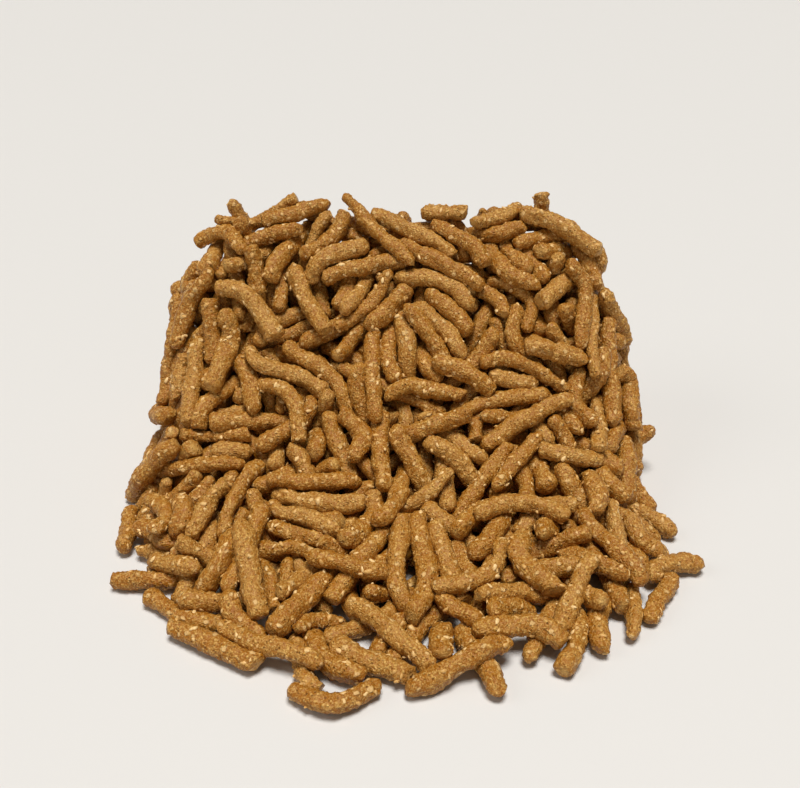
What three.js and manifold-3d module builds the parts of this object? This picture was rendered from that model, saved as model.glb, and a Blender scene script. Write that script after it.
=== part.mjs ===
// A heap of sesame sticks as it lies: a steep bank of the small bread sticks at the back, packed as if by
// upright walls, and a low apron of them run out in front. One solid: a mound, with the outermost sticks half
// sunk in its skin. Millimetres, +X to the right, +Y to the back, +Z up, with the origin under its middle.
import * as THREE from 'three';
import { mergeVertices } from 'three/addons/utils/BufferGeometryUtils.js';
import { MeshSurfaceSampler } from 'three/addons/math/MeshSurfaceSampler.js';
import Module from 'manifold-3d';

const wasm = await Module();
wasm.setup();

const { clamp, degToRad, lerp, seededRandom, smoothstep } = THREE.MathUtils;

// The mound, measured over its own skin, which lies just inside the middles of the outermost sticks
const bankHalfWidth = 92.5;   // of the bank at the back
const apronHalfWidth = 98;    // of the apron in front
const frontEdge = -87;        // y of the apron's toe
const roundStart = -10;       // y where the apron's sides start to round towards the toe
const bankStart = 14;         // y where the sides turn from loose slopes to steep faces
const bankReach = 12;         // to each side of bankStart, over which they turn
const backEdge = 88;          // y of the foot of the back face
const apronHeight = 18;       // of the apron's top at roundStart
const apronRise = 0.18;       // slope of the apron's top
const rampHeight = 31;        // of the ramp behind it, at bankStart
const crestHeight = 94;       // of the bank's top, in the middle
const crestTilt = 0.05;       // the bank is a little higher on the left
const shoulderFall = 40;      // of the top, from the middle to the bank's sides
const shoulderPower = 10;     // how late and how suddenly it falls there
const cornerReach = 30;       // over which the bank's back corners are rounded
const rampReach = 14;         // over which the apron bends up into the ramp
const crestReach = 8;         // over which the ramp bends into the crest
const rimReach = 6;           // over which the slopes from the edge bend into the roof
const rampAngle = degToRad(42);
const toeAngle = degToRad(38);
const wallAngle = degToRad(87);
const moundSides = 28;
const moundRings = 7;
const farOutside = 200;       // a distance from the middle that is well outside of the outline
const outlinePrecision = 1e-4;

// The sticks: a round bar of baked dough, straight or bent, with rounded ends
const stickRadius = 3.65;
const radiusSpread = 0.45;
const shortestStick = 20;
const longestStick = 40;
const skinSticks = 88;        // loose sticks spread over the skin
const placeTrials = 30;       // random places from which each of them takes the emptiest
const skinLift = 0.5;         // of a stick's middle line over the mound's skin
const steepTurn = 0.45;       // how far sticks on an upright face turn from level, as a share of a quarter
const turnTrials = 12;        // times a stick that stands clear is turned back towards level
const turnBack = 0.75;        // what each time leaves of its turn
const floorFlat = 0.3;        // depth of the flat on which a stick on the floor rests
const heavyBend = 80;         // degrees, of the most bent sticks
const radialSides = 5;
const capSteps = 2;
const bentSteps = 3;          // along a stick that is bent by more than almostStraight
const almostStraight = degToRad(20);

// The sticks along the front edge, flat on the floor: [x, y, heading, length, bend], with angles in degrees
const toeSticks = [
  [-98, -9, -75, 26, 7],
  [-86, -37, 7, 29, 64],
  [-68, -54, -34, 33, 0],
  [-59, -71, -29, 35, 0],
  [-50, -61, -68, 23, 6],
  [-30, -73, -67, 27, 45],
  [-18, -75, -35, 27, 42],
  [-21, -88, 14, 32, 84],
  [10, -62, 43, 40, -25],
  [12, -71, 62, 20, -10],
  [24, -75, -66, 31, 29],
  [45, -62, 68, 29, -4],
  [53, -67, 69, 29, -14],
  [64, -62, -86, 27, 23],
  [72, -53, -93, 23, -11],
  [82, -46, 64, 24, 34],
  [91, -31, 17, 24, -100],
  [97, -6, -37, 21, -25],
];

seededRandom(20);
const between = (low, high) => lerp(low, high, seededRandom());

// The lower of two values, with the crease between them rounded over a reach
function smoothMin(a, b, reach) {
  const overlap = Math.max(reach - Math.abs(a - b), 0);
  return Math.min(a, b) - overlap ** 2 / (4 * reach);
}

const smoothMax = (a, b, reach) => -smoothMin(-a, -b, reach);

// Height of the mound's skin over the floor at a place, negative outside of its outline. The skin climbs from
// the outline at the edge's slope until it meets the roof: the apron, then the ramp behind it, then the crest.
function heightAt(x, y) {
  const bank = smoothstep(y, bankStart - bankReach, bankStart + bankReach);
  const halfWidth = lerp(apronHalfWidth, bankHalfWidth, bank);
  const roundness = Math.hypot(x / halfWidth, Math.min(y - roundStart, 0) / (roundStart - frontEdge));
  const gap = smoothMin((1 - roundness) * halfWidth, backEdge - y, cornerReach);
  const edge = gap * Math.tan(lerp(toeAngle, wallAngle, bank));
  const apron = apronHeight + apronRise * (y - roundStart);
  const ramp = rampHeight + Math.tan(rampAngle) * (y - bankStart);
  const crest = crestHeight - crestTilt * x;
  const shoulder = shoulderFall * clamp(Math.abs(x) / halfWidth, 0, 1) ** shoulderPower * bank;
  const roof = smoothMin(smoothMax(apron, ramp, rampReach), crest, crestReach) - shoulder;
  return smoothMin(edge, roof, rimReach);
}

// Distance from the middle to the mound's outline on the floor, in one direction, found by halving
function outlineReach(alongX, alongY) {
  let inside = 0;
  let outside = farOutside;
  while (outside - inside > outlinePrecision) {
    const reach = (inside + outside) / 2;
    if (heightAt(alongX * reach, alongY * reach) > 0) inside = reach;
    else outside = reach;
  }
  return inside;
}

// The mound: a disc of rings, closer together towards its rim, stretched to the outline and lifted to the
// skin, over a flat underside
function makeMound() {
  const profile = [new THREE.Vector2(0, 0)];
  for (let ring = 0; ring <= moundRings; ring += 1) {
    profile.push(new THREE.Vector2(1 - (ring / moundRings) ** 2, ring === 0 ? 0 : 1));
  }
  const geometry = new THREE.LatheGeometry(profile, moundSides);
  const position = geometry.attributes.position;
  for (let i = 0; i < position.count; i += 1) {
    const share = Math.hypot(position.getX(i), position.getZ(i));
    const alongX = share > 0 ? position.getX(i) / share : 0;
    const alongY = share > 0 ? -position.getZ(i) / share : 0;
    const reach = share > 0 ? share * outlineReach(alongX, alongY) : 0;
    const height = position.getY(i) * Math.max(heightAt(alongX * reach, alongY * reach), 0);
    position.setXYZ(i, alongX * reach, alongY * reach, height);
  }
  geometry.deleteAttribute('normal');
  return geometry;
}

// One stick: a capsule along the axis, curled sideways into an arc of the given bend
function makeStick({ middle, axis, normal, length, bend, radius }) {
  const steps = Math.abs(bend) > almostStraight ? bentSteps : 1;
  const geometry = new THREE.CapsuleGeometry(radius, length - 2 * radius, capSteps, radialSides, steps);
  const arcRadius = length / (bend || 0.01);
  const sagitta = arcRadius * (1 - Math.cos(bend / 4));
  const position = geometry.attributes.position;
  for (let i = 0; i < position.count; i += 1) {
    const turn = position.getY(i) / arcRadius;
    const fromCentre = arcRadius - position.getX(i);
    const sideways = arcRadius - fromCentre * Math.cos(turn) - sagitta;
    position.setXYZ(i, sideways, fromCentre * Math.sin(turn), position.getZ(i));
  }
  const sideAxis = new THREE.Vector3().crossVectors(axis, normal);
  const frame = new THREE.Matrix4().makeBasis(sideAxis, axis, normal).setPosition(middle);
  return geometry.applyMatrix4(frame);
}

// The sticks of the front edge, each lying on the floor
function makeToeSticks() {
  return toeSticks.map(([x, y, heading, length, bend]) => makeStick({
    middle: new THREE.Vector3(x, y, stickRadius - floorFlat),
    axis: new THREE.Vector3(Math.cos(degToRad(heading)), Math.sin(degToRad(heading)), 0),
    normal: new THREE.Vector3(0, 0, 1),
    length,
    bend: degToRad(-bend),
    radius: stickRadius,
  }));
}

// Evenly spread places for the loose sticks: of some random places on the skin, the farthest from the rest
function spreadOverSkin(mound) {
  const sampler = new MeshSurfaceSampler(new THREE.Mesh(mound)).setRandomGenerator(seededRandom).build();
  const taken = toeSticks.map(([x, y]) => new THREE.Vector3(x, y, stickRadius));
  const places = [];
  while (places.length < skinSticks) {
    let best = { gap: -1 };
    for (let trial = 0; trial < placeTrials; trial += 1) {
      const point = new THREE.Vector3();
      const normal = new THREE.Vector3();
      sampler.sample(point, normal);
      const gap = Math.min(...taken.map((other) => other.distanceTo(point)));
      if (normal.z > -0.5 && point.z > stickRadius && gap > best.gap) best = { point, normal, gap };
    }
    taken.push(best.point);
    places.push(best);
  }
  return places;
}

// Which way a stick lies on the skin: turned at random, nearer to level on the steep faces, and nearer to
// level again for as long as one of its ends stands clear of the heap
function layOnSkin(middle, normal, length) {
  const level = new THREE.Vector3(-normal.y, normal.x, 0);
  if (level.length() < 0.01) level.set(1, 0, 0);
  level.normalize();
  const standsClear = (end) => end.z > heightAt(end.x, end.y) + 2 * stickRadius;
  let turn = between(-1, 1) * Math.max(normal.z, steepTurn) * Math.PI / 2;
  let axis = level;
  for (let attempt = 0; attempt < turnTrials; attempt += 1) {
    axis = level.clone().applyAxisAngle(normal, turn);
    const ends = [-0.5, 0.5].map((share) => middle.clone().addScaledVector(axis, share * length));
    if (!ends.some(standsClear)) break;
    turn *= turnBack;
  }
  return axis;
}

// The loose sticks, each with its own length, bend and thickness
function makeSkinSticks(mound) {
  return spreadOverSkin(mound).map(({ point, normal }) => {
    const middle = point.addScaledVector(normal, skinLift);
    const length = between(shortestStick, longestStick);
    return makeStick({
      middle,
      axis: layOnSkin(middle, normal, length),
      normal,
      length,
      bend: degToRad(heavyBend) * between(-1, 1) ** 3,
      radius: stickRadius + between(-radiusSpread, radiusSpread),
    });
  });
}

// A manifold solid from a closed geometry: shared corners merged, and triangles with no area left out
function toSolid(geometry) {
  const shape = new THREE.BufferGeometry();
  shape.setAttribute('position', geometry.attributes.position);
  shape.setIndex(geometry.index);
  const merged = mergeVertices(shape, 1e-3);
  const corners = merged.index.array;
  const triangles = [];
  for (let i = 0; i < corners.length; i += 3) {
    const [a, b, c] = [corners[i], corners[i + 1], corners[i + 2]];
    if (a !== b && b !== c && c !== a) triangles.push(a, b, c);
  }
  return new wasm.Manifold(new wasm.Mesh({
    numProp: 3,
    vertProperties: new Float32Array(merged.attributes.position.array),
    triVerts: new Uint32Array(triangles),
  }));
}

// The whole heap: mound and sticks joined, cut level at the floor, without the hollows between crossing sticks
function makeHeap() {
  const mound = makeMound();
  let joined = toSolid(mound);
  for (const stick of [...makeToeSticks(), ...makeSkinSticks(mound)]) joined = joined.add(toSolid(stick));
  const below = toSolid(new THREE.BoxGeometry(2 * farOutside, 2 * farOutside, farOutside)
    .translate(0, 0, -farOutside / 2));
  const [body] = joined.subtract(below).decompose().sort((a, b) => b.volume() - a.volume());
  const mesh = body.getMesh();
  const geometry = new THREE.BufferGeometry();
  geometry.setAttribute('position', new THREE.BufferAttribute(new Float32Array(mesh.vertProperties), 3));
  geometry.setIndex(new THREE.BufferAttribute(new Uint32Array(mesh.triVerts), 1));
  geometry.computeBoundingBox();
  const { min, max } = geometry.boundingBox;
  return geometry.translate(-(min.x + max.x) / 2, -(min.y + max.y) / 2, -min.z);
}

const heap = new THREE.Group();
const bakedDough = new THREE.MeshStandardMaterial({ color: 0xb9772f, roughness: 0.6, flatShading: true });
const stickHeap = new THREE.Mesh(makeHeap(), bakedDough);
stickHeap.name = 'stick_heap';
heap.add(stickHeap);

export default heap;
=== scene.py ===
import math
import bpy
import numpy as np
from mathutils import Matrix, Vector
from mathutils.bvhtree import BVHTree


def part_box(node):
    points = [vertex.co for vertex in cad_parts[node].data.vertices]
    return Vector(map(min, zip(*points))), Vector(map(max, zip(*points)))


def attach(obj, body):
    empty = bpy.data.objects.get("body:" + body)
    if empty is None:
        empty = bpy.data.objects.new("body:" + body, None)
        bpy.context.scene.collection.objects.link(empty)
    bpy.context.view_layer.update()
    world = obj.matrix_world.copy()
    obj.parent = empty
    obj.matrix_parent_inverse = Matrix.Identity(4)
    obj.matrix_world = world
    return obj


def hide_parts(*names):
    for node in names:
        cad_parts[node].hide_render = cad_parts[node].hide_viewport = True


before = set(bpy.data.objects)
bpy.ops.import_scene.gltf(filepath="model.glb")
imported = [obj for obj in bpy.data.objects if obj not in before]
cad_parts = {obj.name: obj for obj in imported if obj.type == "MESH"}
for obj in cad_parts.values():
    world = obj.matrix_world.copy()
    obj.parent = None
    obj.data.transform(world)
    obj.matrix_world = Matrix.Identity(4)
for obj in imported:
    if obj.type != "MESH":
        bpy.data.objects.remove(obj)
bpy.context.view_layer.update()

# A heap of sesame sticks as it lies: banked high at the back, run out low in front.
# Shapes are worked out in millimetres and put into the meshes in metres.
mm = 0.001
rng = np.random.default_rng(12)
heapLow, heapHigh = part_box("stick_heap")
up = np.array([0.0, 0.0, 1.0])


# Vectors brought to a length of one
def unit(vectors):
    return vectors / np.linalg.norm(vectors, axis=-1, keepdims=True)


# Level directions at the headings
def levelWays(heading):
    return np.stack([np.cos(heading), np.sin(heading), 0 * heading], axis=-1)


# Even angles once round
def anglesRound(sides):
    return np.linspace(0, math.tau, sides, endpoint=False)


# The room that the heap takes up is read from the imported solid
room = {
    "step": 4.0,    # between the grid's points
    "margin": 16.0,  # of grid around the solid
    "stretch": 1.06,  # upwards, as the topmost sticks stand a little over the solid
    "flat": 0.1,    # faces no higher than this are the underside
}


# Corners of a mesh in millimetres, and its triangles
def readMesh(mesh):
    corners = np.empty(len(mesh.vertices) * 3)
    mesh.vertices.foreach_get("co", corners)
    mesh.calc_loop_triangles()
    triangles = np.empty(len(mesh.loop_triangles) * 3, int)
    mesh.loop_triangles.foreach_get("vertices", triangles)
    return corners.reshape(-1, 3) / mm, triangles.reshape(-1, 3)


# A grid's values evened out, so that it forgets the solid's own sticks: along each axis a value becomes
# half of itself and a quarter of each neighbour
def evened(values):
    for axis in range(3):
        count = values.shape[axis]
        padded = np.concatenate([values.take([0], axis), values, values.take([-1], axis)], axis)
        before, here, after = [padded.take(range(shift, shift + count), axis) for shift in range(3)]
        values = (before + 2 * here + after) / 4
    return values


# Depth of each grid point under the solid's skin, negative outside: the distance to the nearest face that
# isn't its flat underside, and a point is inside when it is lower than the first face met from above. The
# grid keeps the depth's slope as well.
def measureRoom(mesh):
    corners, triangles = readMesh(mesh)
    corners[:, 2] *= room["stretch"]
    skin = triangles[corners[triangles][:, :, 2].max(axis=1) > room["flat"]]
    tree = BVHTree.FromPolygons(corners.tolist(), skin.tolist())
    low = corners.min(axis=0) - room["margin"]
    high = corners.max(axis=0) + room["margin"]
    low[2] = 0
    axes = [np.arange(low[i], high[i] + room["step"], room["step"]) for i in range(3)]
    depth = np.empty([len(axis) for axis in axes])
    for i, x in enumerate(axes[0]):
        for j, y in enumerate(axes[1]):
            top = tree.ray_cast((x, y, high[2]), (0, 0, -1))[0]
            for k, z in enumerate(axes[2]):
                distance = tree.find_nearest((x, y, z))[3]
                depth[i, j, k] = distance if top and z < top.z else -distance
    depth = evened(depth)
    slope = np.stack(np.gradient(depth, room["step"]), axis=-1)
    return {"low": low, "values": np.concatenate([depth[..., None], slope], axis=-1)}


# Depth and the way inwards at any points: the grid's eight nearest values, weighted by closeness
def depthAt(grid, points):
    values = grid["values"]
    place = (points - grid["low"]) / room["step"]
    place = np.clip(place, 0, np.array(values.shape[:3]) - 1.001)    # short of the last point
    cell = place.astype(int)
    share = place - cell
    total = 0
    for corner in np.ndindex(2, 2, 2):
        weight = np.prod(np.where(corner, share, 1 - share), axis=-1)
        index = cell + corner
        total = total + weight[..., None] * values[index[..., 0], index[..., 1], index[..., 2]]
    inwards = total[..., 1:] / (np.linalg.norm(total[..., 1:], axis=-1, keepdims=True) + 1e-6)
    return total[..., 0], inwards


heapRoom = measureRoom(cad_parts["stick_heap"].data)
print("room measured on a grid of", heapRoom["values"].shape[:3])


# What the sticks look like, each by its own draw
stickMix = {
    "onFloor": 46,            # sticks along the floor's edge, besides the front edge's own
    "layers": ((14.0, 120), (8.5, 150), (3.0, 150), (-2.5, 85)),  # depth under the skin, sticks there
    "length": (15, 30, 7.5, 46),  # shortest, usual, spread, longest
    "radius": (2.3, 3.15, 0.36, 3.7),
    "straight": 0.3,          # share of the sticks that are almost straight
    "bent": 0.44,             # share that are bent evenly; the rest are hooked
    "straightBend": (0, 16),  # degrees from end to end, least and most
    "bentBend": (16, 60),
    "hookedBend": (20, 50),
    "hookedKink": (20, 56),   # degrees more over a short stretch
    "kink": 8,                # the same of the other sticks, as a spread about none
    "kinkPlace": 0.28,        # share of the length that it lies off the middle, at most
    "kinkSharpness": 9,
    "sway": 10,               # spread of a slow wave in the heading, in degrees
    "taper": 0.13,            # spread of how much wider one end is than the other
    "flatness": (0.88, 1.0),  # height by width, least and most
    "swell": 0.05,            # spread of the waves in the width
    "swells": (0.8, 2.4),     # how many of them a stick has
    "crease": (-0.03, 0.13),  # middle and spread of its depth; a negative one is none
    "creasePlace": (0.2, 0.8),
    "cut": 0.22,              # spread of how an end slants
    "hollow": (0.1, 0.45),    # middle and spread of how far a broken end is hollow
    "belly": 0.12,            # how much thinner the ends are than the middle
    "bellyRise": 0.3,         # share of that by which the middle is thicker than usual
    "blunt": 0.45,            # share of the ends that are broken off square
    "tapered": 0.12,          # share that run out long
    "endLength": (0.5, 1.45, 1.0),  # of a blunt, a tapered and a round end, in radii
    "endPower": (2.5, 1.9, 2.0),  # of its superellipse
}

# The front edge from left to right, flat on the floor: x, y, heading, length and bend, in millimetres and
# degrees
frontEdge = np.array([
    (-100, -10, -75, 25, 5), (-85, -40, 5, 30, 60), (-70, -55, -35, 35, 0), (-60, -70, -30, 35, 0),
    (-50, -60, -70, 25, 5), (-30, -75, -65, 25, 45), (-18, -75, -35, 28, 40), (-20, -85, 15, 32, 80),
    (10, -60, 45, 40, -25), (12, -70, 60, 20, -10), (25, -75, -65, 30, 30), (45, -60, 70, 30, -5),
    (55, -65, 70, 30, -15), (65, -60, -85, 25, 25), (74, -53, -95, 25, -10), (83, -45, 65, 25, 35),
    (90, -30, 15, 25, -100), (97, -7, -35, 22, -25),
], float)


# Every stick's own measures, one column each: bell-shaped draws for sizes, even ones for turns and phases.
# The front edge's sticks come first, with their length and bend given.
def drawSticks():
    edge = len(frontEdge)
    inLayers = sum(number for _, number in stickMix["layers"])
    count = edge + stickMix["onFloor"] + inLayers + sum(settling["fills"])
    one, two = (count, 1), (count, 2)
    shortest, usual, spread, longest = stickMix["length"]
    thinnest, middling, width, thickest = stickMix["radius"]
    kind = rng.random(one)
    straight = kind < stickMix["straight"]
    hooked = kind > stickMix["straight"] + stickMix["bent"]
    side = rng.choice([-1, 1], one)
    bends = [rng.uniform(*stickMix[key], one) for key in ("straightBend", "hookedBend", "bentBend")]
    hookedKinks = rng.uniform(*stickMix["hookedKink"], one)
    kinks = np.where(hooked, hookedKinks, rng.normal(0, stickMix["kink"], one))
    sticks = {
        "length": np.clip(rng.normal(usual, spread, one), shortest, longest),
        "radius": np.clip(rng.normal(middling, width, one), thinnest, thickest),
        "bend": np.radians(side * np.select([straight, hooked], bends[:2], bends[2])),
        "kink": np.radians(side * kinks),
        "kinkAt": rng.uniform(-stickMix["kinkPlace"], stickMix["kinkPlace"], one),
        "sway": np.radians(rng.normal(0, stickMix["sway"], one)),
        "swayAt": rng.uniform(0, math.tau, one),
        "taper": rng.normal(0, stickMix["taper"], one),
        "flat": rng.uniform(*stickMix["flatness"], one),
        "swell": rng.normal(0, stickMix["swell"], one),
        "swells": rng.uniform(*stickMix["swells"], one),
        "crease": np.maximum(rng.normal(*stickMix["crease"], one), 0),
        "creaseAt": rng.uniform(*stickMix["creasePlace"], one),
        "creaseTurn": rng.uniform(0, math.tau, one),
        "endKind": rng.random(two),
        "cut": rng.normal(0, stickMix["cut"], two),
        "cutTurn": rng.uniform(0, math.tau, two),
        "hollow": np.maximum(rng.normal(*stickMix["hollow"], two), 0),
        "tone": rng.random(one),
        "grainAt": rng.random(one),
        "proud": rng.uniform(*settling["proud"], one),
    }
    sticks["length"][:edge, 0] = frontEdge[:, 3]
    sticks["bend"][:edge, 0] = np.radians(frontEdge[:, 4])
    sticks["kink"][:edge] = 0
    return sticks


# Heading of each stick's middle line at shares of its length: it turns evenly by the bend, more by the kink
# over a short stretch (a tanh), and sways by a sine
def headingAt(sticks, share):
    part = share - 0.5
    kinked = np.tanh(stickMix["kinkSharpness"] * (part - sticks["kinkAt"]))
    return (sticks["bend"] * part + sticks["kink"] / 2 * kinked
            + sticks["sway"] * np.sin(math.tau * part + sticks["swayAt"]))


# Points of the middle lines at shares of their length, in each stick's own plane: the running sum of short
# steps along the heading, about its mean, read between the steps
def middleLine(sticks, share):
    steps = 96
    heading = headingAt(sticks, (np.arange(steps) + 0.5) / steps)
    walked = np.cumsum(levelWays(heading) * (sticks["length"] / steps)[..., None], axis=1)
    line = np.concatenate([np.zeros_like(walked[:, :1]), walked], axis=1)
    line -= line.mean(axis=1, keepdims=True)
    lower = np.clip((share * steps).astype(int), 0, steps - 1)
    part = (share * steps - lower)[..., None]
    rows = np.arange(len(line))[:, None]
    return line[rows, lower] * (1 - part) + line[rows, lower + 1] * part


# How the sticks come to lie on one another
settling = {
    "beads": 9,         # in a row along each stick, which push on the others' beads
    "slack": 0.97,      # of the beads' radius, so that neighbours touch
    "coreDepth": 18.0,  # under the skin, where the core starts
    "crest": (45, 88),  # heights between which it comes nearer to the skin
    "crestLess": 8.0,   # by how much
    "box": 3,           # how far beyond the solid's box the random places reach
    "tries": 240000,    # random places for the layers
    "lowest": 3.5,      # height of a stick's middle, at least
    "floorHeight": 5,   # the same at most, along the floor's edge
    "floorDepth": (1, 11),  # its least and greatest depth under the skin there
    "layerHalf": 1.2,   # half a layer's thickness
    "overCore": 3,      # from a stick's middle to the core, at least
    "trials": 24,       # places, or turns, of which the best is taken
    "lying": 0.75,      # how nearly the sticks start along the skin
    "downhill": 2.2,    # how much more of them run down a steep slope than across it
    "proud": (1.0, 6.0),  # how far a stick may stand over the evened skin
    "steps": 200,
    "pull": 0.22,       # towards the core, in each step, fading out
    "fall": 0.12,       # share of the pull that is straight down
    "fade": (0.6, 0.7),  # share of the steps that have a pull, and the power it fades by
    "touches": (2.0, 2.5),  # most that count of a bead, least that count of a stick
    "looseness": 0.25,  # part in the turn of a bead that touches nothing
    "heft": 60,         # what resists a turn besides the beads
    "furthest": (1.5, 0.1),  # move and turn in one step, at most
    "edgeShare": 0.12,  # of its moves that a stick of the front edge makes
    "fills": (70, 30, 20),  # sticks at most in each later round, which fills hollows
    "fillDepth": (1.2, 5.0),
    "fillTries": 90000,
    "fillLowest": 3.6,
    "around": 32,       # from a place, where the beads in its way are looked for
    "roomy": 7,         # room around a bead beyond which more is no better
    "clearance": 3,     # height under which a bead counts as too low
    "hollow": 5.8,      # room from a place to the nearest bead's middle that makes it a hollow
    "fillSteps": 90,
    "fillPull": 0.08,
    "searchEvery": 4,   # steps between two searches for near pairs
    "reach": 1.0,       # beyond touching, within which a pair of beads is kept
    "lift": 0.4,        # of the beads over the floor, for the crust's lumps
}


# Pairs of beads closer than their radii and the reach: beads are sorted by the cell of a grid they lie in,
# and each looks through its own cell and half of the neighbouring ones
def nearPairs(centres, radius, owner):
    size = 2 * radius.max() + settling["reach"]
    cell = np.floor((centres - centres.min(axis=0)) / size).astype(int) + 1
    span = cell.max(axis=0) + 2
    strides = np.array([span[1] * span[2], span[2], 1])
    key = cell @ strides
    order = np.argsort(key, kind="stable")
    sortedKey = key[order]
    found = []
    for offset in np.ndindex(3, 3, 3):
        shift = (np.array(offset) - 1) @ strides
        if shift < 0:
            continue
        first = np.searchsorted(sortedKey, key + shift, "left")
        count = np.searchsorted(sortedKey, key + shift, "right") - first
        a = np.repeat(np.arange(len(key)), count)
        within = np.arange(len(a)) - np.repeat(np.cumsum(count) - count, count)
        b = order[np.repeat(first, count) + within]
        keep = (owner[a] != owner[b]) & ((a < b) | (shift > 0))
        a, b = a[keep], b[keep]
        gap = np.linalg.norm(centres[a] - centres[b], axis=1) - radius[a] - radius[b]
        near = gap < settling["reach"]
        found.append(np.stack([a[near], b[near]]))
    return np.concatenate(found, axis=1)


# Rotation matrices of small turns (axis times angle), by Rodrigues' formula
def turning(turn):
    angle = np.linalg.norm(turn, axis=1)[:, None, None] + 1e-12
    x, y, z = (turn / angle[:, :, 0]).T
    zero = np.zeros_like(x)
    cross = np.stack([zero, -z, y, z, zero, -x, -y, x, zero], axis=1).reshape(-1, 3, 3)
    return np.eye(3) + np.sin(angle) * cross + (1 - np.cos(angle)) * cross @ cross


# The core starts nearer to the skin high up, by a smooth step, so that the narrow crest doesn't sink
def coreDepthAt(height):
    low, high = settling["crest"]
    share = np.clip((height - low) / (high - low), 0, 1)
    return settling["coreDepth"] - settling["crestLess"] * share * share * (3 - 2 * share)


# Random places in the heap's room with their depth and way inwards
def drawPlaces(number):
    low = np.array(heapLow) / mm - settling["box"]
    high = np.array(heapHigh) / mm + settling["box"]
    places = rng.uniform(low, high, (number, 3))
    return (places,) + depthAt(heapRoom, places)


# First places, layer by layer: of some random places at its depth, the one farthest from its other sticks
def scatterPlaces(taken):
    tries, depth, inwards = drawPlaces(settling["tries"])
    height = tries[:, 2]
    above = (height > settling["lowest"]) & (depth < coreDepthAt(height) - settling["overCore"])
    shallow, deep = settling["floorDepth"]
    onFloor = (height < settling["floorHeight"]) & (depth > shallow) & (depth < deep)
    levels = [(onFloor, stickMix["onFloor"])]
    for target, number in stickMix["layers"]:
        levels.append((np.abs(depth - target) < settling["layerHalf"], number))
    places, ways = [], []
    for level, number in levels:
        spots, turned = tries[level & above], inwards[level & above]
        chosen = list(taken)
        for _ in range(number):
            some = rng.integers(0, len(spots), settling["trials"])
            near = np.linalg.norm(spots[some][:, None] - np.array(chosen)[None], axis=2).min(axis=1)
            best = some[near.argmax()]
            chosen.append(spots[best])
            ways.append(turned[best])
        places += chosen[len(taken):]
    return np.array(places), np.array(ways)


# Turns whose first axis runs along the sticks and whose third points out of the heap
def facing(along, out):
    along = unit(along)
    out = unit(out - (out * along).sum(axis=-1, keepdims=True) * along)
    return np.stack([along, np.cross(out, along), out], axis=-1)


# Random ways along the skin: even ones plus some of the steepest way down, turned out of the skin by what
# lying leaves
def skinWays(inwards):
    down = up - inwards[..., 2:] * inwards
    along = rng.normal(size=inwards.shape)
    along = along + settling["downhill"] * rng.normal(size=inwards[..., :1].shape) * down
    return along - settling["lying"] * (along * inwards).sum(axis=-1, keepdims=True) * inwards


# Beads of each stick in its own axes: the middle line's points at even shares, a radius in from both ends
def stringBeads(sticks):
    inset = sticks["radius"] * settling["slack"] / sticks["length"]
    return middleLine(sticks, inset + (1 - 2 * inset) * np.linspace(0, 1, settling["beads"]))


# Where beads are once their sticks are placed and turned
def beadPlaces(local, place, turn):
    return place[:, None] + np.einsum("nij,nkj->nki", turn, local)


# Distance from each spot to the nearest of the centres, taken in blocks to save memory
def nearestTo(spots, centres):
    near = np.full(len(spots), np.inf)
    blockSize = 150
    for block in np.array_split(centres, math.ceil(len(centres) / blockSize)):
        near = np.minimum(near, np.linalg.norm(spots[:, None] - block[None], axis=2).min(axis=1))
    return near


# Sticks put into hollows: of the places just under the skin, the one farthest from every bead, while it is
# a hollow; and of some ways to turn there, the one with most room that is in the skin and off the floor
def fillHollows(local, place, turn, most):
    tries, depth, inwards = drawPlaces(settling["fillTries"])
    shallow, deep = settling["fillDepth"]
    kept = (depth > shallow) & (depth < deep) & (tries[:, 2] > settling["fillLowest"])
    tries, inwards = tries[kept], inwards[kept]
    centres = beadPlaces(local[:len(place)], place, turn).reshape(-1, 3)
    near = nearestTo(tries, centres)
    while most > 0 and near.max() > settling["hollow"]:
        best = near.argmax()
        ways = np.tile(inwards[best], (settling["trials"], 1))
        turns = facing(skinWays(ways), -ways)
        beads = tries[best] + np.einsum("nij,kj->nki", turns, local[len(place)])
        close = centres[np.linalg.norm(centres - tries[best], axis=1) < settling["around"]]
        space = np.linalg.norm(beads[:, :, None] - close[None, None], axis=3).min(axis=2)
        shallowest = depthAt(heapRoom, beads)[0].min(axis=1)
        dips = np.minimum(beads[:, :, 2] - settling["clearance"], 0).min(axis=1)
        free = np.minimum(space, settling["roomy"]).mean(axis=1)
        chosen = (free + np.minimum(shallowest, 1) + dips).argmax()
        place = np.concatenate([place, tries[best][None]])
        turn = np.concatenate([turn, turns[chosen][None]])
        centres = np.concatenate([centres, beads[chosen]])
        near = np.minimum(near, nearestTo(tries, beads[chosen]))
        most -= 1
    return place, turn


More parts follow.
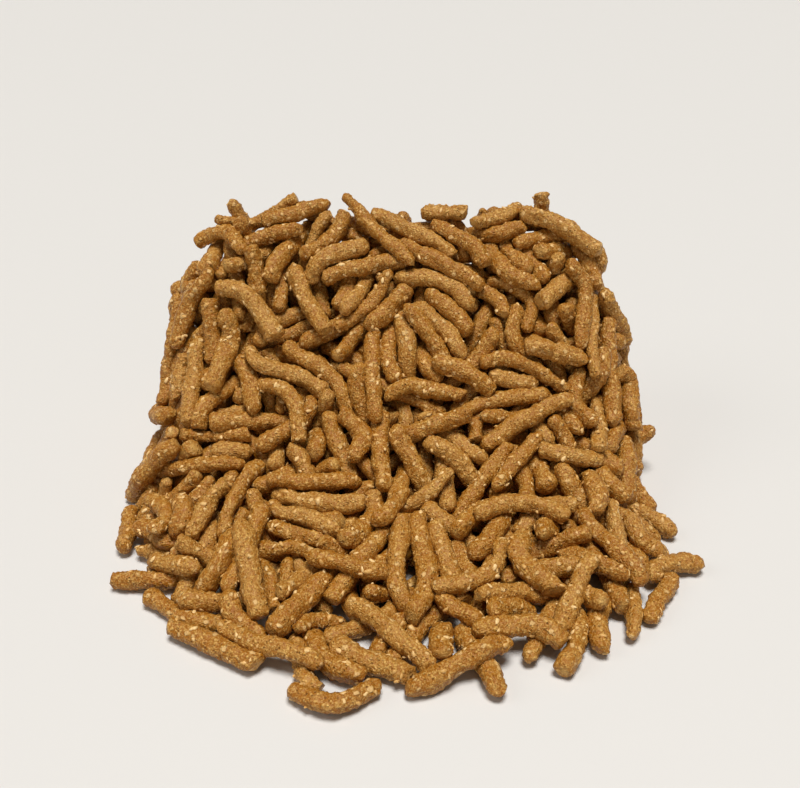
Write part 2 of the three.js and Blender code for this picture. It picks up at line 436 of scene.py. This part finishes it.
# What pushes on each bead: half of every overlap with another bead, half of what stands over the skin or in
# the core, and all that is in the floor; and how many things it touches, of which the skin counts half
def pushOn(centres, radius, proud, pairs):
    a, b = pairs
    apart = centres[a] - centres[b]
    distance = np.linalg.norm(apart, axis=1) + 1e-9
    overlap = np.maximum(radius[a] + radius[b] - distance, 0)
    shove = apart / distance[:, None] * (overlap / 2)[:, None]
    count = len(centres)
    push = np.stack([np.bincount(a, shove[:, axis], count) - np.bincount(b, shove[:, axis], count)
                     for axis in range(3)], axis=1)
    touches = np.bincount(a, overlap > 0, count) + np.bincount(b, overlap > 0, count)
    depth, inwards = depthAt(heapRoom, centres)
    over = np.maximum(radius - proud - depth, 0)
    sunk = np.maximum(depth + radius - coreDepthAt(centres[:, 2]), 0)
    low = np.maximum(radius + settling["lift"] - centres[:, 2], 0)
    push += inwards * ((over - sunk) / 2)[:, None]
    push[:, 2] += low
    touches = touches + (over > 0) / 2 + (sunk > 0) + (low > 0)
    return push, touches, inwards, overlap


# In every step each bead is pushed as above and drawn to the core; its stick then moves by the beads' mean
# and turns by the turn that fits them best (least squares over the lever arms)
def relax(local, radius, proud, place, turn, steps, pull):
    count = len(place)
    edge = len(frontEdge)
    beads = settling["beads"]
    local = local[:count]
    beadRadius = np.repeat(radius[:count], beads)
    beadProud = np.repeat(proud[:count], beads)
    owner = np.repeat(np.arange(count), beads)
    free = np.where(np.arange(count) < edge, settling["edgeShare"], 1.0)[:, None]
    fadeBy, fadePower = settling["fade"]
    mostTouches, leastTouches = settling["touches"]
    furthestMove, furthestTurn = settling["furthest"]
    looseness = settling["looseness"]
    for step in range(steps):
        arms = np.einsum("nij,nkj->nki", turn, local)
        centres = (place[:, None] + arms).reshape(-1, 3)
        if step % settling["searchEvery"] == 0:
            pairs = nearPairs(centres, beadRadius, owner)
        push, touches, inwards, overlap = pushOn(centres, beadRadius, beadProud, pairs)
        fade = max(1 - step / (steps * fadeBy), 0) ** fadePower
        drawn = pull * fade * ((1 - settling["fall"]) * inwards - settling["fall"] * up)
        push = push.reshape(count, beads, 3)
        drawn = drawn.reshape(count, beads, 3)
        drawn[:edge] = 0
        touched = np.minimum(touches.reshape(count, beads), mostTouches)
        shared = np.maximum(touched.sum(axis=1), leastTouches)[:, None]
        move = push.sum(axis=1) / shared + drawn.mean(axis=1)
        weight = touched + looseness
        spread = (weight * (arms ** 2).sum(axis=2)).sum(axis=1)
        inertia = ((spread + settling["heft"])[:, None, None] * np.eye(3)
                   - np.einsum("nk,nki,nkj->nij", weight, arms, arms))
        torque = np.cross(arms, push + looseness * drawn).sum(axis=1)
        spin = np.linalg.solve(inertia, torque[..., None])[..., 0]
        place = place + np.clip(move, -furthestMove, furthestMove) * free
        turn = turning(np.clip(spin, -furthestTurn, furthestTurn) * free) @ turn
    met = overlap[overlap > 0]
    print(f"settled {count} sticks, mean overlap {met.mean():.2f} mm, worst {met.max():.2f} mm")
    return place, turn


# Places and turns of the sticks: scattered and settled, then hollows are filled and all settles again
def settle(sticks):
    radius = sticks["radius"][:, 0] * settling["slack"]
    local = stringBeads(sticks)
    heading = np.radians(frontEdge[:, 2])
    place = np.stack([frontEdge[:, 0], frontEdge[:, 1], sticks["radius"][:len(frontEdge), 0]], axis=1)
    turn = facing(levelWays(heading), up)
    places, ways = scatterPlaces(place)
    place = np.concatenate([place, places])
    turn = np.concatenate([turn, facing(skinWays(ways), -ways)])
    proud = sticks["proud"][:, 0]
    place, turn = relax(local, radius, proud, place, turn, settling["steps"], settling["pull"])
    for most in settling["fills"]:
        place, turn = fillHollows(local, place, turn, most)
        place, turn = relax(local, radius, proud, place, turn, settling["fillSteps"], settling["fillPull"])
    beads = beadPlaces(local[:len(place)], place, turn)
    return place, turn, depthAt(heapRoom, beads)[0].min(axis=1)


sticks = drawSticks()
place, turn, depth = settle(sticks)
sticks = {name: values[:len(place)] for name, values in sticks.items()}
sticks.update(place=place, turn=turn, depth=depth)


# The crust's relief
relief = {
    "waves": [(9.0, 0.15, 5), (4.6, 0.09, 6), (2.6, 0.07, 8), (1.6, 0.05, 8)],  # length, height, how many
    "waveSpread": (0.8, 1.25),  # of the waves' lengths
    "grainSpan": 900,   # how far the sticks are spread in the grain
    "crumbs": 2.2,      # how much stronger the lumps are over a blunt end
    "crumbling": (1.6, 0.4),  # how fast and how late a blunt end turns to crumb
    "cutReach": 1.6,    # radii from an end over which it slants
    "creaseWidth": 0.9,
    "creaseAround": (0.6, 0.4),  # share all round, share on one side
    "ringMix": (0.55, 0.45),  # share of even steps, share of cosine ones
    "clear": 0.25,      # least height of the crust over the floor
    "lowRoom": 5,       # height over half its length beyond which a stick is clear of the floor
    "lowest": (30, 16),  # rings and sides by which its lowest point is found
}


# Directions, heights and phases of the sine waves that add up to a lumpy crust
def drawWaves():
    ways, heights = [], []
    for length, height, number in relief["waves"]:
        way = unit(rng.normal(size=(number, 3)))
        ways.append(way * math.tau / (length * rng.uniform(*relief["waveSpread"], (number, 1))))
        heights.append(np.full(number, height))
    return np.concatenate(ways), np.concatenate(heights), rng.uniform(0, math.tau, sum(map(len, ways)))


crustWaves = drawWaves()


# Height of the crust's lumps at grain places: a sum of sine waves through space
def lumps(grain):
    ways, heights, phases = crustWaves
    total = 0
    for way, height, phase in zip(ways, heights, phases):
        total = total + height * np.sin(grain @ way + phase)
    return total


# How full the stick is at a distance from its end: a superellipse that reaches 1 at the end's length
def endShape(distance, kind, radius):
    ends = [kind < stickMix["blunt"], kind > 1 - stickMix["tapered"]]
    length = radius * np.select(ends, stickMix["endLength"][:2], stickMix["endLength"][2])
    power = np.select(ends, stickMix["endPower"][:2], stickMix["endPower"][2])
    left = 1 - np.clip(distance / length, 0, 1)
    return np.clip(1 - left ** power, 0, 1) ** (1 / power)


# How wide the stick is at shares of its length, ends aside: radius x (1 + taper + swell + belly)
def girthAt(own, share):
    swell = own["swell"] * np.sin(math.tau * (own["swells"] * share + own["grainAt"]))
    belly = stickMix["belly"] * (stickMix["bellyRise"] - (2 * share - 1) ** 2)
    return own["radius"] * (1 + own["taper"] * (share - 0.5) + swell + belly)


# Depth of the crease across the stick, as a share of its width: a bell along the stick, deeper on one side
def creaseAt(own, travelled, angle):
    crossed = (travelled - own["creaseAt"] * own["length"]) / relief["creaseWidth"]
    allRound, oneSide = relief["creaseAround"]
    around = allRound + oneSide * np.cos(angle - own["creaseTurn"][..., None])
    return (own["crease"] * np.exp(-crossed ** 2))[:, :, None] * around


# Points of the crust of the chosen sticks at shares of their length and angles round them. Each ring is a
# slightly flattened circle across the middle line, as wide as girth x fullness x (1 - crease) + lumps. Near
# an end the points move along the stick: by cut x cosine for a slanting cut, inwards for a hollow, and by
# the lumps for crumbs. With the points come their places in the crust's grain, and how broken it is there.
def crustPoints(chosen, share, angle):
    own = {name: values[chosen] for name, values in sticks.items()}
    heading = headingAt(own, share)[:, :, None]
    travelled = share * own["length"]
    left = own["length"] - travelled
    second = share > 0.5
    kinds = own["endKind"]
    fullness = (endShape(travelled, kinds[:, :1], own["radius"])
                * endShape(left, kinds[:, 1:], own["radius"]))
    cut, cutTurn, hollow, kind = [np.where(second, own[name][:, 1:], own[name][:, :1])[:, :, None]
                                  for name in ("cut", "cutTurn", "hollow", "endKind")]
    blunt = kind < stickMix["blunt"]
    empty = 1 - fullness[:, :, None]
    slanting = relief["cutReach"] * own["radius"]
    endness = np.clip(1 - np.minimum(travelled, left) / slanting, 0, 1)[:, :, None]

    girth = (girthAt(own, share) * fullness)[:, :, None] * (1 - creaseAt(own, travelled, angle))
    across = np.cos(angle) * np.ones_like(girth)
    over = np.sin(angle) * np.ones_like(girth)
    grain = np.stack([travelled[:, :, None] + 0 * across, girth * across, girth * over], axis=-1)
    grain = grain + own["grainAt"][..., None, None] * relief["grainSpan"]
    raised = lumps(grain)
    inwards = np.where(second, -1, 1)[:, :, None] * blunt
    along = (girth * cut * endness * np.cos(angle - cutTurn) + hollow * inwards * empty ** 2
             + raised * empty * np.where(blunt, relief["crumbs"], 1.0))
    girth = girth + raised * np.sqrt(fullness)[:, :, None]

    side = np.stack([-np.sin(heading), np.cos(heading), 0 * heading], axis=-1)
    local = (middleLine(own, share)[:, :, None] + side * (girth * across)[..., None]
             + up * (girth * over * own["flat"][..., None])[..., None]
             + levelWays(heading) * along[..., None])
    points = np.einsum("nij,nrsj->nrsi", own["turn"], local) + own["place"][:, None, None]
    fast, late = relief["crumbling"]
    broken = np.clip(fast * empty - late, 0, 1) * blunt
    return points, grain, broken * np.ones_like(across)


# Shares along a stick for its rings: even steps mixed with cosine ones, which stand closer at the ends
def ringShares(count, rings):
    even = np.linspace(0, 1, rings + 2)
    evenPart, cosinePart = relief["ringMix"]
    share = evenPart * even + cosinePart * (0.5 - 0.5 * np.cos(math.pi * even))
    return np.broadcast_to(share, (count, rings + 2))


# Sticks whose crust would come too near the floor are raised by as much as their lowest point lacks
def liftSticks():
    low = np.flatnonzero(sticks["place"][:, 2] < sticks["length"][:, 0] / 2 + relief["lowRoom"])
    rings, sides = relief["lowest"]
    crust = crustPoints(low, ringShares(len(low), rings), anglesRound(sides))[0]
    lift = np.maximum(relief["clear"] - crust[..., 2].min(axis=(1, 2)), 0)
    sticks["place"][low, 2] += lift
    print(f"lifted {(lift > 0).sum()} sticks off the floor, by {lift.max():.2f} mm at most")


liftSticks()


# Mesh, lamp or camera data put into the scene
def placed(name, data):
    made = bpy.data.objects.new(name, data)
    bpy.context.scene.collection.objects.link(made)
    return made


# A mesh of closed shells as a piece of the heap: corners in metres, faces of three or four corners, and
# values for each corner
def makePiece(name, corners, faces, values, material):
    mesh = bpy.data.meshes.new(name)
    sizes = np.concatenate([np.full(len(block), block.shape[1]) for block in faces])
    loops = np.concatenate([block.ravel() for block in faces])
    mesh.vertices.add(len(corners))
    mesh.vertices.foreach_set("co", corners.astype(np.float32).ravel())
    mesh.loops.add(len(loops))
    mesh.loops.foreach_set("vertex_index", loops.astype(np.int32))
    mesh.polygons.add(len(sizes))
    mesh.polygons.foreach_set("loop_start", (np.cumsum(sizes) - sizes).astype(np.int32))
    mesh.update(calc_edges=True)
    mesh.shade_smooth()
    for key, value in values.items():
        kind, field = ("FLOAT_VECTOR", "vector") if value.ndim == 2 else ("FLOAT", "value")
        layer = mesh.attributes.new(key, kind, "POINT")
        layer.data.foreach_set(field, value.astype(np.float32).ravel())
    mesh.materials.append(material)
    piece = placed(name, mesh)
    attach(piece, "root")
    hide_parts("stick_heap")
    print(f"{name}: {len(corners)} corners, {int((sizes - 2).sum())} triangles")


# Faces of many like shells, each of rings of corners between two poles; corners run pole, rings, pole
def shellFaces(shells, rings, sides):
    ring = np.arange(rings - 1)[:, None] * sides + 1
    side = np.arange(sides)[None]
    following = (side + 1) % sides
    quads = np.stack([ring + side, ring + following,
                      ring + sides + following, ring + sides + side], axis=-1)
    last = 1 + (rings - 1) * sides
    firstCap = np.stack([np.zeros(sides, int), 1 + following[0], 1 + side[0]], axis=-1)
    lastCap = np.stack([np.full(sides, last + sides), last + side[0], last + following[0]], axis=-1)
    start = (np.arange(shells) * (rings * sides + 2))[:, None, None]
    caps = np.concatenate([firstCap, lastCap])
    return [(start + quads.reshape(1, -1, 4)).reshape(-1, 4), (start + caps[None]).reshape(-1, 3)]


# Values on a grid of shells x rings x sides in the order of shellFaces: the end rings become their mean
def strung(block):
    first = block[:, 0].mean(axis=1, keepdims=True)
    last = block[:, -1].mean(axis=1, keepdims=True)
    rows = block[:, 1:-1].reshape((len(block), -1) + block.shape[3:])
    return np.concatenate([first, rows, last], axis=1).reshape((-1,) + block.shape[3:])


# A shader output on which Python's operators add Math nodes
class Signal:
    def __init__(self, look, socket):
        self.look = look
        self.socket = socket

    def math(self, operation, *terms):
        return self.look.node("ShaderNodeMath", {"operation": operation}, dict(enumerate(terms)))

    def __add__(self, other):
        return self.math("ADD", self, other)

    def __sub__(self, other):
        return self.math("SUBTRACT", self, other)

    def __rsub__(self, other):
        return self.math("SUBTRACT", other, self)

    def __mul__(self, other):
        return self.math("MULTIPLY", self, other)

    __radd__ = __add__
    __rmul__ = __mul__

    # 0 below low, 1 above high, smooth between; low may be the larger one
    def rise(self, low, high):
        inputs = {"Value": self, "From Min": min(low, high), "From Max": max(low, high)}
        smooth = self.look.node("ShaderNodeMapRange", {"interpolation_type": "SMOOTHSTEP"}, inputs)
        return 1 - smooth if low > high else smooth


# The nodes of a material or of the world, and the one method that adds to them
class Look:
    def __init__(self, owner, surface="Principled BSDF"):
        owner.use_nodes = True
        self.owner = owner
        self.tree = owner.node_tree
        self.surface = self.tree.nodes[surface]

    def node(self, kind, settings=None, inputs=None, output=0):
        made = self.tree.nodes.new(kind)
        for key, value in (settings or {}).items():
            setattr(made, key, value)
        self.feed(made, inputs or {})
        return Signal(self, made.outputs[output])

    def feed(self, made, inputs):
        for key, value in inputs.items():
            if isinstance(value, Signal):
                self.tree.links.new(value.socket, made.inputs[key])
            else:
                made.inputs[key].default_value = value

    def attribute(self, name, output="Fac"):
        return self.node("ShaderNodeAttribute", {"attribute_name": name}, None, output)

    # The first colour where share is 0, the second where it is 1
    def blend(self, share, first, second):
        inputs = {"Factor": share, 6: first, 7: second}    # 6, 7 and the output 2 are its colours
        return self.node("ShaderNodeMix", {"data_type": "RGBA"}, inputs, 2)

    def vectors(self, operation, *terms):
        return self.node("ShaderNodeVectorMath", {"operation": operation}, dict(enumerate(terms)))

    def noise(self, where, size, detail=2.0, rough=0.5, output=0):
        inputs = {"Vector": where, "Scale": 1 / size, "Detail": detail, "Roughness": rough}
        return self.node("ShaderNodeTexNoise", None, inputs, output)

    def cells(self, where, size, output="Distance"):
        return self.node("ShaderNodeTexVoronoi", None, {"Vector": where, "Scale": 1 / size}, output)

    def bump(self, height, strength, distance):
        inputs = {"Height": height, "Strength": strength, "Distance": distance}
        return self.node("ShaderNodeBump", None, inputs)


# Linear colour, with alpha, from a hexadecimal one
def colour(code):
    shares = [int(code[i:i + 2], 16) / 255 for i in (0, 2, 4)]
    return [s / 12.92 if s <= 0.04045 else ((s + 0.055) / 1.055) ** 2.4 for s in shares] + [1.0]


# The toasted crust, on the sticks' own grain so that no two look alike
crustLook = {
    "pale": "E2B566",
    "golden": "B0781E",
    "brown": "985B09",
    "speck": "5C330A",
    "crumb": "DDB266",
    "buried": "EBC382",
    "noises": {     # size in millimetres, detail and roughness of each mottled pattern
        "toast": (6, 2, 0.55), "patches": (2.4, 2, 0.5), "mottle": (1.2, 3, 0.6),
        "fine": (0.5, 2, 0.6), "clumps": (2.5, 2, 0.5), "wobble": (1.4, 2, 0.5),
    },
    "wobbleReach": 1.3,  # how far the wobble bends grains and seeds out of shape
    "cells": {"grains": 1.05, "specks": 0.95, "pores": 1.6, "seeds": 2.8},  # size in millimetres
    "edges": {      # values between which each sets in; specks gather in the clumps
        "toast": (0.3, 0.66), "grains": (0.6, 0.1), "grainTone": (0.35, 0.65), "specks": (0.42, 0.2),
        "clumps": (0.38, 0.56), "pores": (0.24, 0.09), "seedSize": (0.35, 0.75), "seeds": (0.0, 0.14),
    },
    "seedRadius": 0.36,  # of the largest seed, by its cell
    "shades": {     # where a pattern turns the crust pale and how strongly, then the same for brown
        "tone": ((0.45, 1.0), 0.65, (0.5, 0.0), 0.7),
        "patches": ((0.5, 0.68), 0.65, (0.47, 0.32), 0.5),
        "mottle": ((0.5, 0.64), 0.6, (0.47, 0.34), 0.65),
        "fine": ((0.5, 0.64), 0.38, (0.47, 0.34), 0.5),
    },
    "grainShades": (0.8, 0.7),  # how strongly grains are pale, and the gaps between them brown
    "spots": {      # how strongly each kind of spot shows, and its colour
        "seeds": (0.7, "buried"),
        "specks": (0.26, "speck"),
        "pores": (0.4, "speck"),
        "broken": (0.6, "crumb"),
    },
    "heights": {"mottle": 0.6, "fine": 0.3, "grains": 0.22, "seeds": 0.3, "specks": -0.15, "pores": -0.4},
    "relief": 0.8 * mm,
    "roughness": (0.31, 0.24),  # least, and what the mottle adds
    "shine": 0.3,
}


# The body paler where a pattern is high and browner where it is low, by the shades given under its name
def shaded(look, body, signal, name):
    paleEdge, palePart, brownEdge, brownPart = crustLook["shades"][name]
    body = look.blend(signal.rise(*paleEdge) * palePart, body, colour(crustLook["pale"]))
    return look.blend(signal.rise(*brownEdge) * brownPart, body, colour(crustLook["brown"]))


# Golden dough, browner and paler in broad patches and small ones, set with pale grains; pale soft-edged
# spots where seeds lie under the crust, brown specks and pores, and pale crumb where an end is broken
def makeCrust():
    look = Look(bpy.data.materials.new("toastedCrust"))
    pale, golden, brown = [colour(crustLook[key]) for key in ("pale", "golden", "brown")]
    cells = {name: size * mm for name, size in crustLook["cells"].items()}
    edges = crustLook["edges"]
    grain = look.attribute("grain", "Vector")
    size, detail, rough = crustLook["noises"]["wobble"]
    wobble = look.noise(grain, size * mm, detail, rough, "Color")
    bent = look.vectors("MULTIPLY_ADD", wobble, [crustLook["wobbleReach"] * mm] * 3, grain)
    marks = {"tone": look.attribute("tone"), "broken": look.attribute("broken")}
    for name in ("toast", "patches", "mottle", "fine", "clumps"):
        size, detail, rough = crustLook["noises"][name]
        marks[name] = look.noise(grain, size * mm, detail, rough)
    grains = look.cells(bent, cells["grains"]).rise(*edges["grains"])
    grainTone = look.cells(bent, cells["grains"], "Color").rise(*edges["grainTone"])
    specks = look.cells(grain, cells["specks"]).rise(*edges["specks"])
    seedSize = look.cells(bent, cells["seeds"], "Color").rise(*edges["seedSize"]) * crustLook["seedRadius"]
    marks["grains"] = grains
    marks["specks"] = specks * marks["clumps"].rise(*edges["clumps"])
    marks["pores"] = look.cells(grain, cells["pores"]).rise(*edges["pores"])
    marks["seeds"] = (seedSize - look.cells(bent, cells["seeds"])).rise(*edges["seeds"])
    body = look.blend(marks["toast"].rise(*edges["toast"]), brown, golden)
    for name in ("tone", "patches", "mottle"):
        body = shaded(look, body, marks[name], name)
    palePart, gapPart = crustLook["grainShades"]
    body = look.blend(grains * grainTone * palePart, body, pale)
    body = look.blend((1 - grains) * gapPart, body, brown)
    body = shaded(look, body, marks["fine"], "fine")
    for name, (part, tint) in crustLook["spots"].items():
        body = look.blend(marks[name] * part, body, colour(crustLook[tint]))
    height = sum(marks[name] * weight for name, weight in crustLook["heights"].items())
    least, added = crustLook["roughness"]
    bump = look.bump(height, 1.0, crustLook["relief"])
    look.feed(look.surface, {"Base Color": body, "Roughness": least + marks["mottle"] * added,
                             "Normal": bump, "Specular IOR Level": crustLook["shine"]})
    return look.owner


# How finely the sticks are made, by how near the skin they come
stickPieces = {
    "top": (1.5, 50, 20),  # sticks that come this near the skin, their rings and sides
    "middle": (7.0, 32, 12),
    "under": (math.inf, 18, 8),
    "most": 200000,       # triangles in one piece
}


# The chosen sticks as one piece, a shell each
def makeSticks(name, chosen, rings, sides, material):
    points, grain, broken = crustPoints(chosen, ringShares(len(chosen), rings), anglesRound(sides))
    tone = np.broadcast_to(sticks["tone"][chosen][..., None], broken.shape)
    values = {"grain": strung(grain) * mm, "broken": strung(broken), "tone": strung(tone)}
    makePiece(name, strung(points) * mm, shellFaces(len(chosen), rings, sides), values, material)


# Sticks grouped by how near the skin they come: the nearer, the finer; big groups are split
def makeHeap(material):
    done = -math.inf
    for level in ("top", "middle", "under"):
        depth, rings, sides = stickPieces[level]
        chosen = np.flatnonzero((sticks["depth"] > done) & (sticks["depth"] <= depth))
        parts = math.ceil(len(chosen) * 2 * rings * sides / stickPieces["most"])
        for part in range(parts):
            makeSticks(f"{level}_sticks_{part + 1}", chosen[part::parts], rings, sides, material)
        done = depth


makeHeap(makeCrust())


# Sesame seeds lie in the crust
seedLook = {
    "onTop": 11,        # seeds of a stick at the top
    "onMiddle": 5,
    "ends": (0.03, 0.97),  # shares of a stick's length between which they lie
    "nextPoints": (0.012, 0.15),  # steps along and round by which the crust's slope is read
    "size": (0.75, 1.12),  # least and most, times the measures that follow
    "length": 2.5,
    "width": 1.5,
    "height": 0.45,
    "sunk": 0.24,
    "narrowing": 0.35,  # how much narrower one end is, and how much wider the other
    "rings": 3,
    "sides": 6,
    "light": "F2CE90",
    "toasted": "D2A056",
    "byTone": ((0.1, 0.6), 0.9),  # values between which seeds turn toasted, and how strongly
    "byMottle": ((0.4, 0.7), 0.5),
    "mottleSize": 0.5,
    "bump": (0.4, 0.15 * mm),  # strength and height of the mottle's relief
    "roughness": 0.45,
}


# Seeds are cream to toasted, each by its own tone, with a fine mottle
def makeSeedLook():
    look = Look(bpy.data.materials.new("sesameSeed"))
    fine = look.noise(look.attribute("grain", "Vector"), seedLook["mottleSize"] * mm)
    toasted = colour(seedLook["toasted"])
    body = colour(seedLook["light"])
    for signal, key in ((look.attribute("tone"), "byTone"), (fine, "byMottle")):
        edge, part = seedLook[key]
        body = look.blend(signal.rise(*edge) * part, body, toasted)
    bump = look.bump(fine, *seedLook["bump"])
    look.feed(look.surface, {"Base Color": body, "Roughness": seedLook["roughness"], "Normal": bump})
    return look.owner


# Seeds pressed into the crust: each is an ellipsoid, narrowed to one end, lying along the crust and turned
# at random. The crust's slope is read from three near points. Seeds that touch the floor are left out.
def makeSeeds(material):
    depth = sticks["depth"]
    top = np.flatnonzero(depth <= stickPieces["top"][0])
    middle = np.flatnonzero((depth > stickPieces["top"][0]) & (depth <= stickPieces["middle"][0]))
    hosts = np.concatenate([np.repeat(top, seedLook["onTop"]), np.repeat(middle, seedLook["onMiddle"])])
    count = len(hosts)
    stepAlong, stepRound = seedLook["nextPoints"]
    share = rng.uniform(*seedLook["ends"], (count, 1)) + np.array([[0.0, stepAlong]])
    angle = rng.uniform(0, math.tau, (count, 1, 1)) + np.array([0.0, stepRound])
    crust = crustPoints(hosts, share, angle)[0]
    here = crust[:, 0, 0]
    ahead = unit(crust[:, 1, 0] - here)
    normal = unit(np.cross(crust[:, 0, 1] - here, ahead))
    spin = rng.uniform(0, math.tau, (count, 1))
    axis = np.cos(spin) * ahead + np.sin(spin) * np.cross(normal, ahead)
    other = np.cross(normal, axis)

    polar = np.linspace(0, math.pi, seedLook["rings"] + 2)[:, None]
    around = anglesRound(seedLook["sides"])[None] + math.pi / 2
    size = rng.uniform(*seedLook["size"], (count, 1, 1))
    width = seedLook["width"] / 2 * (1 + seedLook["narrowing"] * np.cos(polar))
    x = size * -np.cos(polar) * seedLook["length"] / 2 * np.ones_like(around)
    y = size * np.sin(polar) * np.cos(around) * width
    z = size * np.sin(polar) * np.sin(around) * seedLook["height"] - seedLook["sunk"]
    axis, other, normal = axis[:, None, None], other[:, None, None], normal[:, None, None]
    points = here[:, None, None] + (axis * x[..., None] + other * y[..., None] + normal * z[..., None])
    points = points[points[..., 2].min(axis=(1, 2)) > 0]
    tone = np.broadcast_to(rng.random((len(points), 1, 1)), points.shape[:3])
    corners = strung(points) * mm
    faces = shellFaces(len(points), seedLook["rings"], seedLook["sides"])
    makePiece("sesame_seeds", corners, faces, {"grain": corners, "tone": strung(tone)}, material)


makeSeeds(makeSeedLook())


# The dark mass deep in the heap, seen only between sticks, is painted shade: it stands where the heap's
# inside lies in shadow
core = {
    "middle": (0.0, 30.0, 6.0),
    "far": 180.0,     # from its middle, outside the heap in every direction
    "halvings": 24,
    "depth": 15.5,    # under the skin
    "rings": 46,
    "sides": 96,
    "lift": 0.8,      # of its underside over the floor
    # dark is the painted shade, and lit the painted light that shows on it here and there
    "dark": "1A0F07",
    "lit": "3E2812",
    # the crumbs entry sizes the mottle that spreads painted light over the painted shade
    "crumbs": (3 * mm, 4, 0.6),  # size, detail and roughness of its mottle
    "lighting": (0.35, 0.7),  # values between which dark turns lit
    "bump": (0.8, 1.5 * mm),
    "roughness": 0.8,
}


# Painted shade of the heap's inside: dark brown with a crumb-like mottle, and painted light here and there
def makePaintedShadeLook():
    look = Look(bpy.data.materials.new("paintedShadeCore"))
    where = look.node("ShaderNodeTexCoord", None, None, "Object")
    fine = look.noise(where, *core["crumbs"])
    # painted shade, turned to painted light where the mottle is high
    body = look.blend(fine.rise(*core["lighting"]), colour(core["dark"]), colour(core["lit"]))
    bump = look.bump(fine, *core["bump"])
    look.feed(look.surface, {"Base Color": body, "Roughness": core["roughness"], "Normal": bump})
    return look.owner


# From a point inside, each direction is followed out to the core's depth, by halving the way
def makeCore(material):
    polar = np.linspace(0, math.pi, core["rings"] + 2)[:, None]
    around = anglesRound(core["sides"])[None]
    way = np.stack([np.sin(polar) * np.cos(around), np.sin(polar) * np.sin(around),
                    np.cos(polar) * np.ones_like(around)], axis=-1)
    middle = np.array(core["middle"])
    near, far = np.zeros(way.shape[:2]), np.full(way.shape[:2], core["far"])
    for _ in range(core["halvings"]):
        half = (near + far) / 2
        points = middle + way * half[..., None]
        inside = (depthAt(heapRoom, points)[0] > core["depth"]) & (points[..., 2] > core["lift"])
        near, far = np.where(inside, half, near), np.where(inside, far, half)
    corners = strung((middle + way * near[..., None])[None])
    faces = [block[:, ::-1] for block in shellFaces(1, core["rings"], core["sides"])]
    makePiece("painted_shade_core", corners * mm, faces, {}, material)


makeCore(makePaintedShadeLook())


# Floor, light and camera
stage = {
    "cameraBack": 0.2925,  # in front of the heap's middle
    "cameraHeight": 0.229,
    "cameraPitch": 31,    # degrees below the horizon
    "lens": 45,
    "sensor": 36,
    "floor": "D8D6D3",
    "floorRoughness": 0.6,
    "floorSide": 12.0,
    "lamps": {            # where it shines from, strength, softness in degrees
        "overhead": ((0.1, -0.2, 2.2), 3.35, 24),
        "left_window": ((-1.8, -0.4, 1.4), 0.4, 34),
        "front_fill": ((0.8, -1.9, 1.0), 0.1, 40),
    },
    "lampTint": (1.0, 0.985, 0.96),
    "horizon": "DAD8D4",  # of the room's walls
    "ceiling": "4E4C48",
    "walls": (0.12, 0.3),  # heights between which they turn into the ceiling
}


# A plain pale square under the heap
def makeFloor():
    side = stage["floorSide"] / 2
    corners = [(-side, -side, 0), (side, -side, 0), (side, side, 0), (-side, side, 0)]
    mesh = bpy.data.meshes.new("floor")
    mesh.from_pydata(corners, [], [(0, 1, 2, 3)])
    look = Look(bpy.data.materials.new("paleFloor"))
    look.feed(look.surface, {"Base Color": colour(stage["floor"]), "Roughness": stage["floorRoughness"]})
    mesh.materials.append(look.owner)
    floor = placed("floor", mesh)


# A far soft lamp, which lights the floor evenly to its edge
def makeLamp(name, place, strength, softness):
    light = bpy.data.lights.new(name, "SUN")
    light.energy = strength
    light.angle = math.radians(softness)
    light.color = stage["lampTint"]
    lamp = placed(name, light)
    lamp.location = place
    lamp.rotation_euler = Vector(place).to_track_quat("Z", "Y").to_euler()


# Pale walls that turn smoothly into a dimmer ceiling, by the height of the direction
def makeRoomLight():
    look = Look(bpy.data.worlds.new("softRoom"), "Background")
    way = look.node("ShaderNodeTexCoord", None, None, "Generated")
    height = look.node("ShaderNodeSeparateXYZ", None, {"Vector": way}, "Z")
    tint = look.blend(height.rise(*stage["walls"]), colour(stage["horizon"]), colour(stage["ceiling"]))
    look.feed(look.surface, {"Color": tint})
    bpy.context.scene.world = look.owner
    bpy.context.scene.view_settings.view_transform = "Standard"


# The camera stands in front of the heap and looks down on it
def makeCamera():
    lens = bpy.data.cameras.new("camera")
    lens.lens = stage["lens"]
    lens.sensor_width = stage["sensor"]
    camera = placed("camera", lens)
    camera.location = (0, -stage["cameraBack"], stage["cameraHeight"])
    camera.rotation_euler = (math.radians(90 - stage["cameraPitch"]), 0, 0)
    bpy.context.scene.camera = camera


makeFloor()
for name, lamp in stage["lamps"].items():
    makeLamp(name, *lamp)
makeRoomLight()
makeCamera()
print("stage set with", len(stage["lamps"]), "lamps")
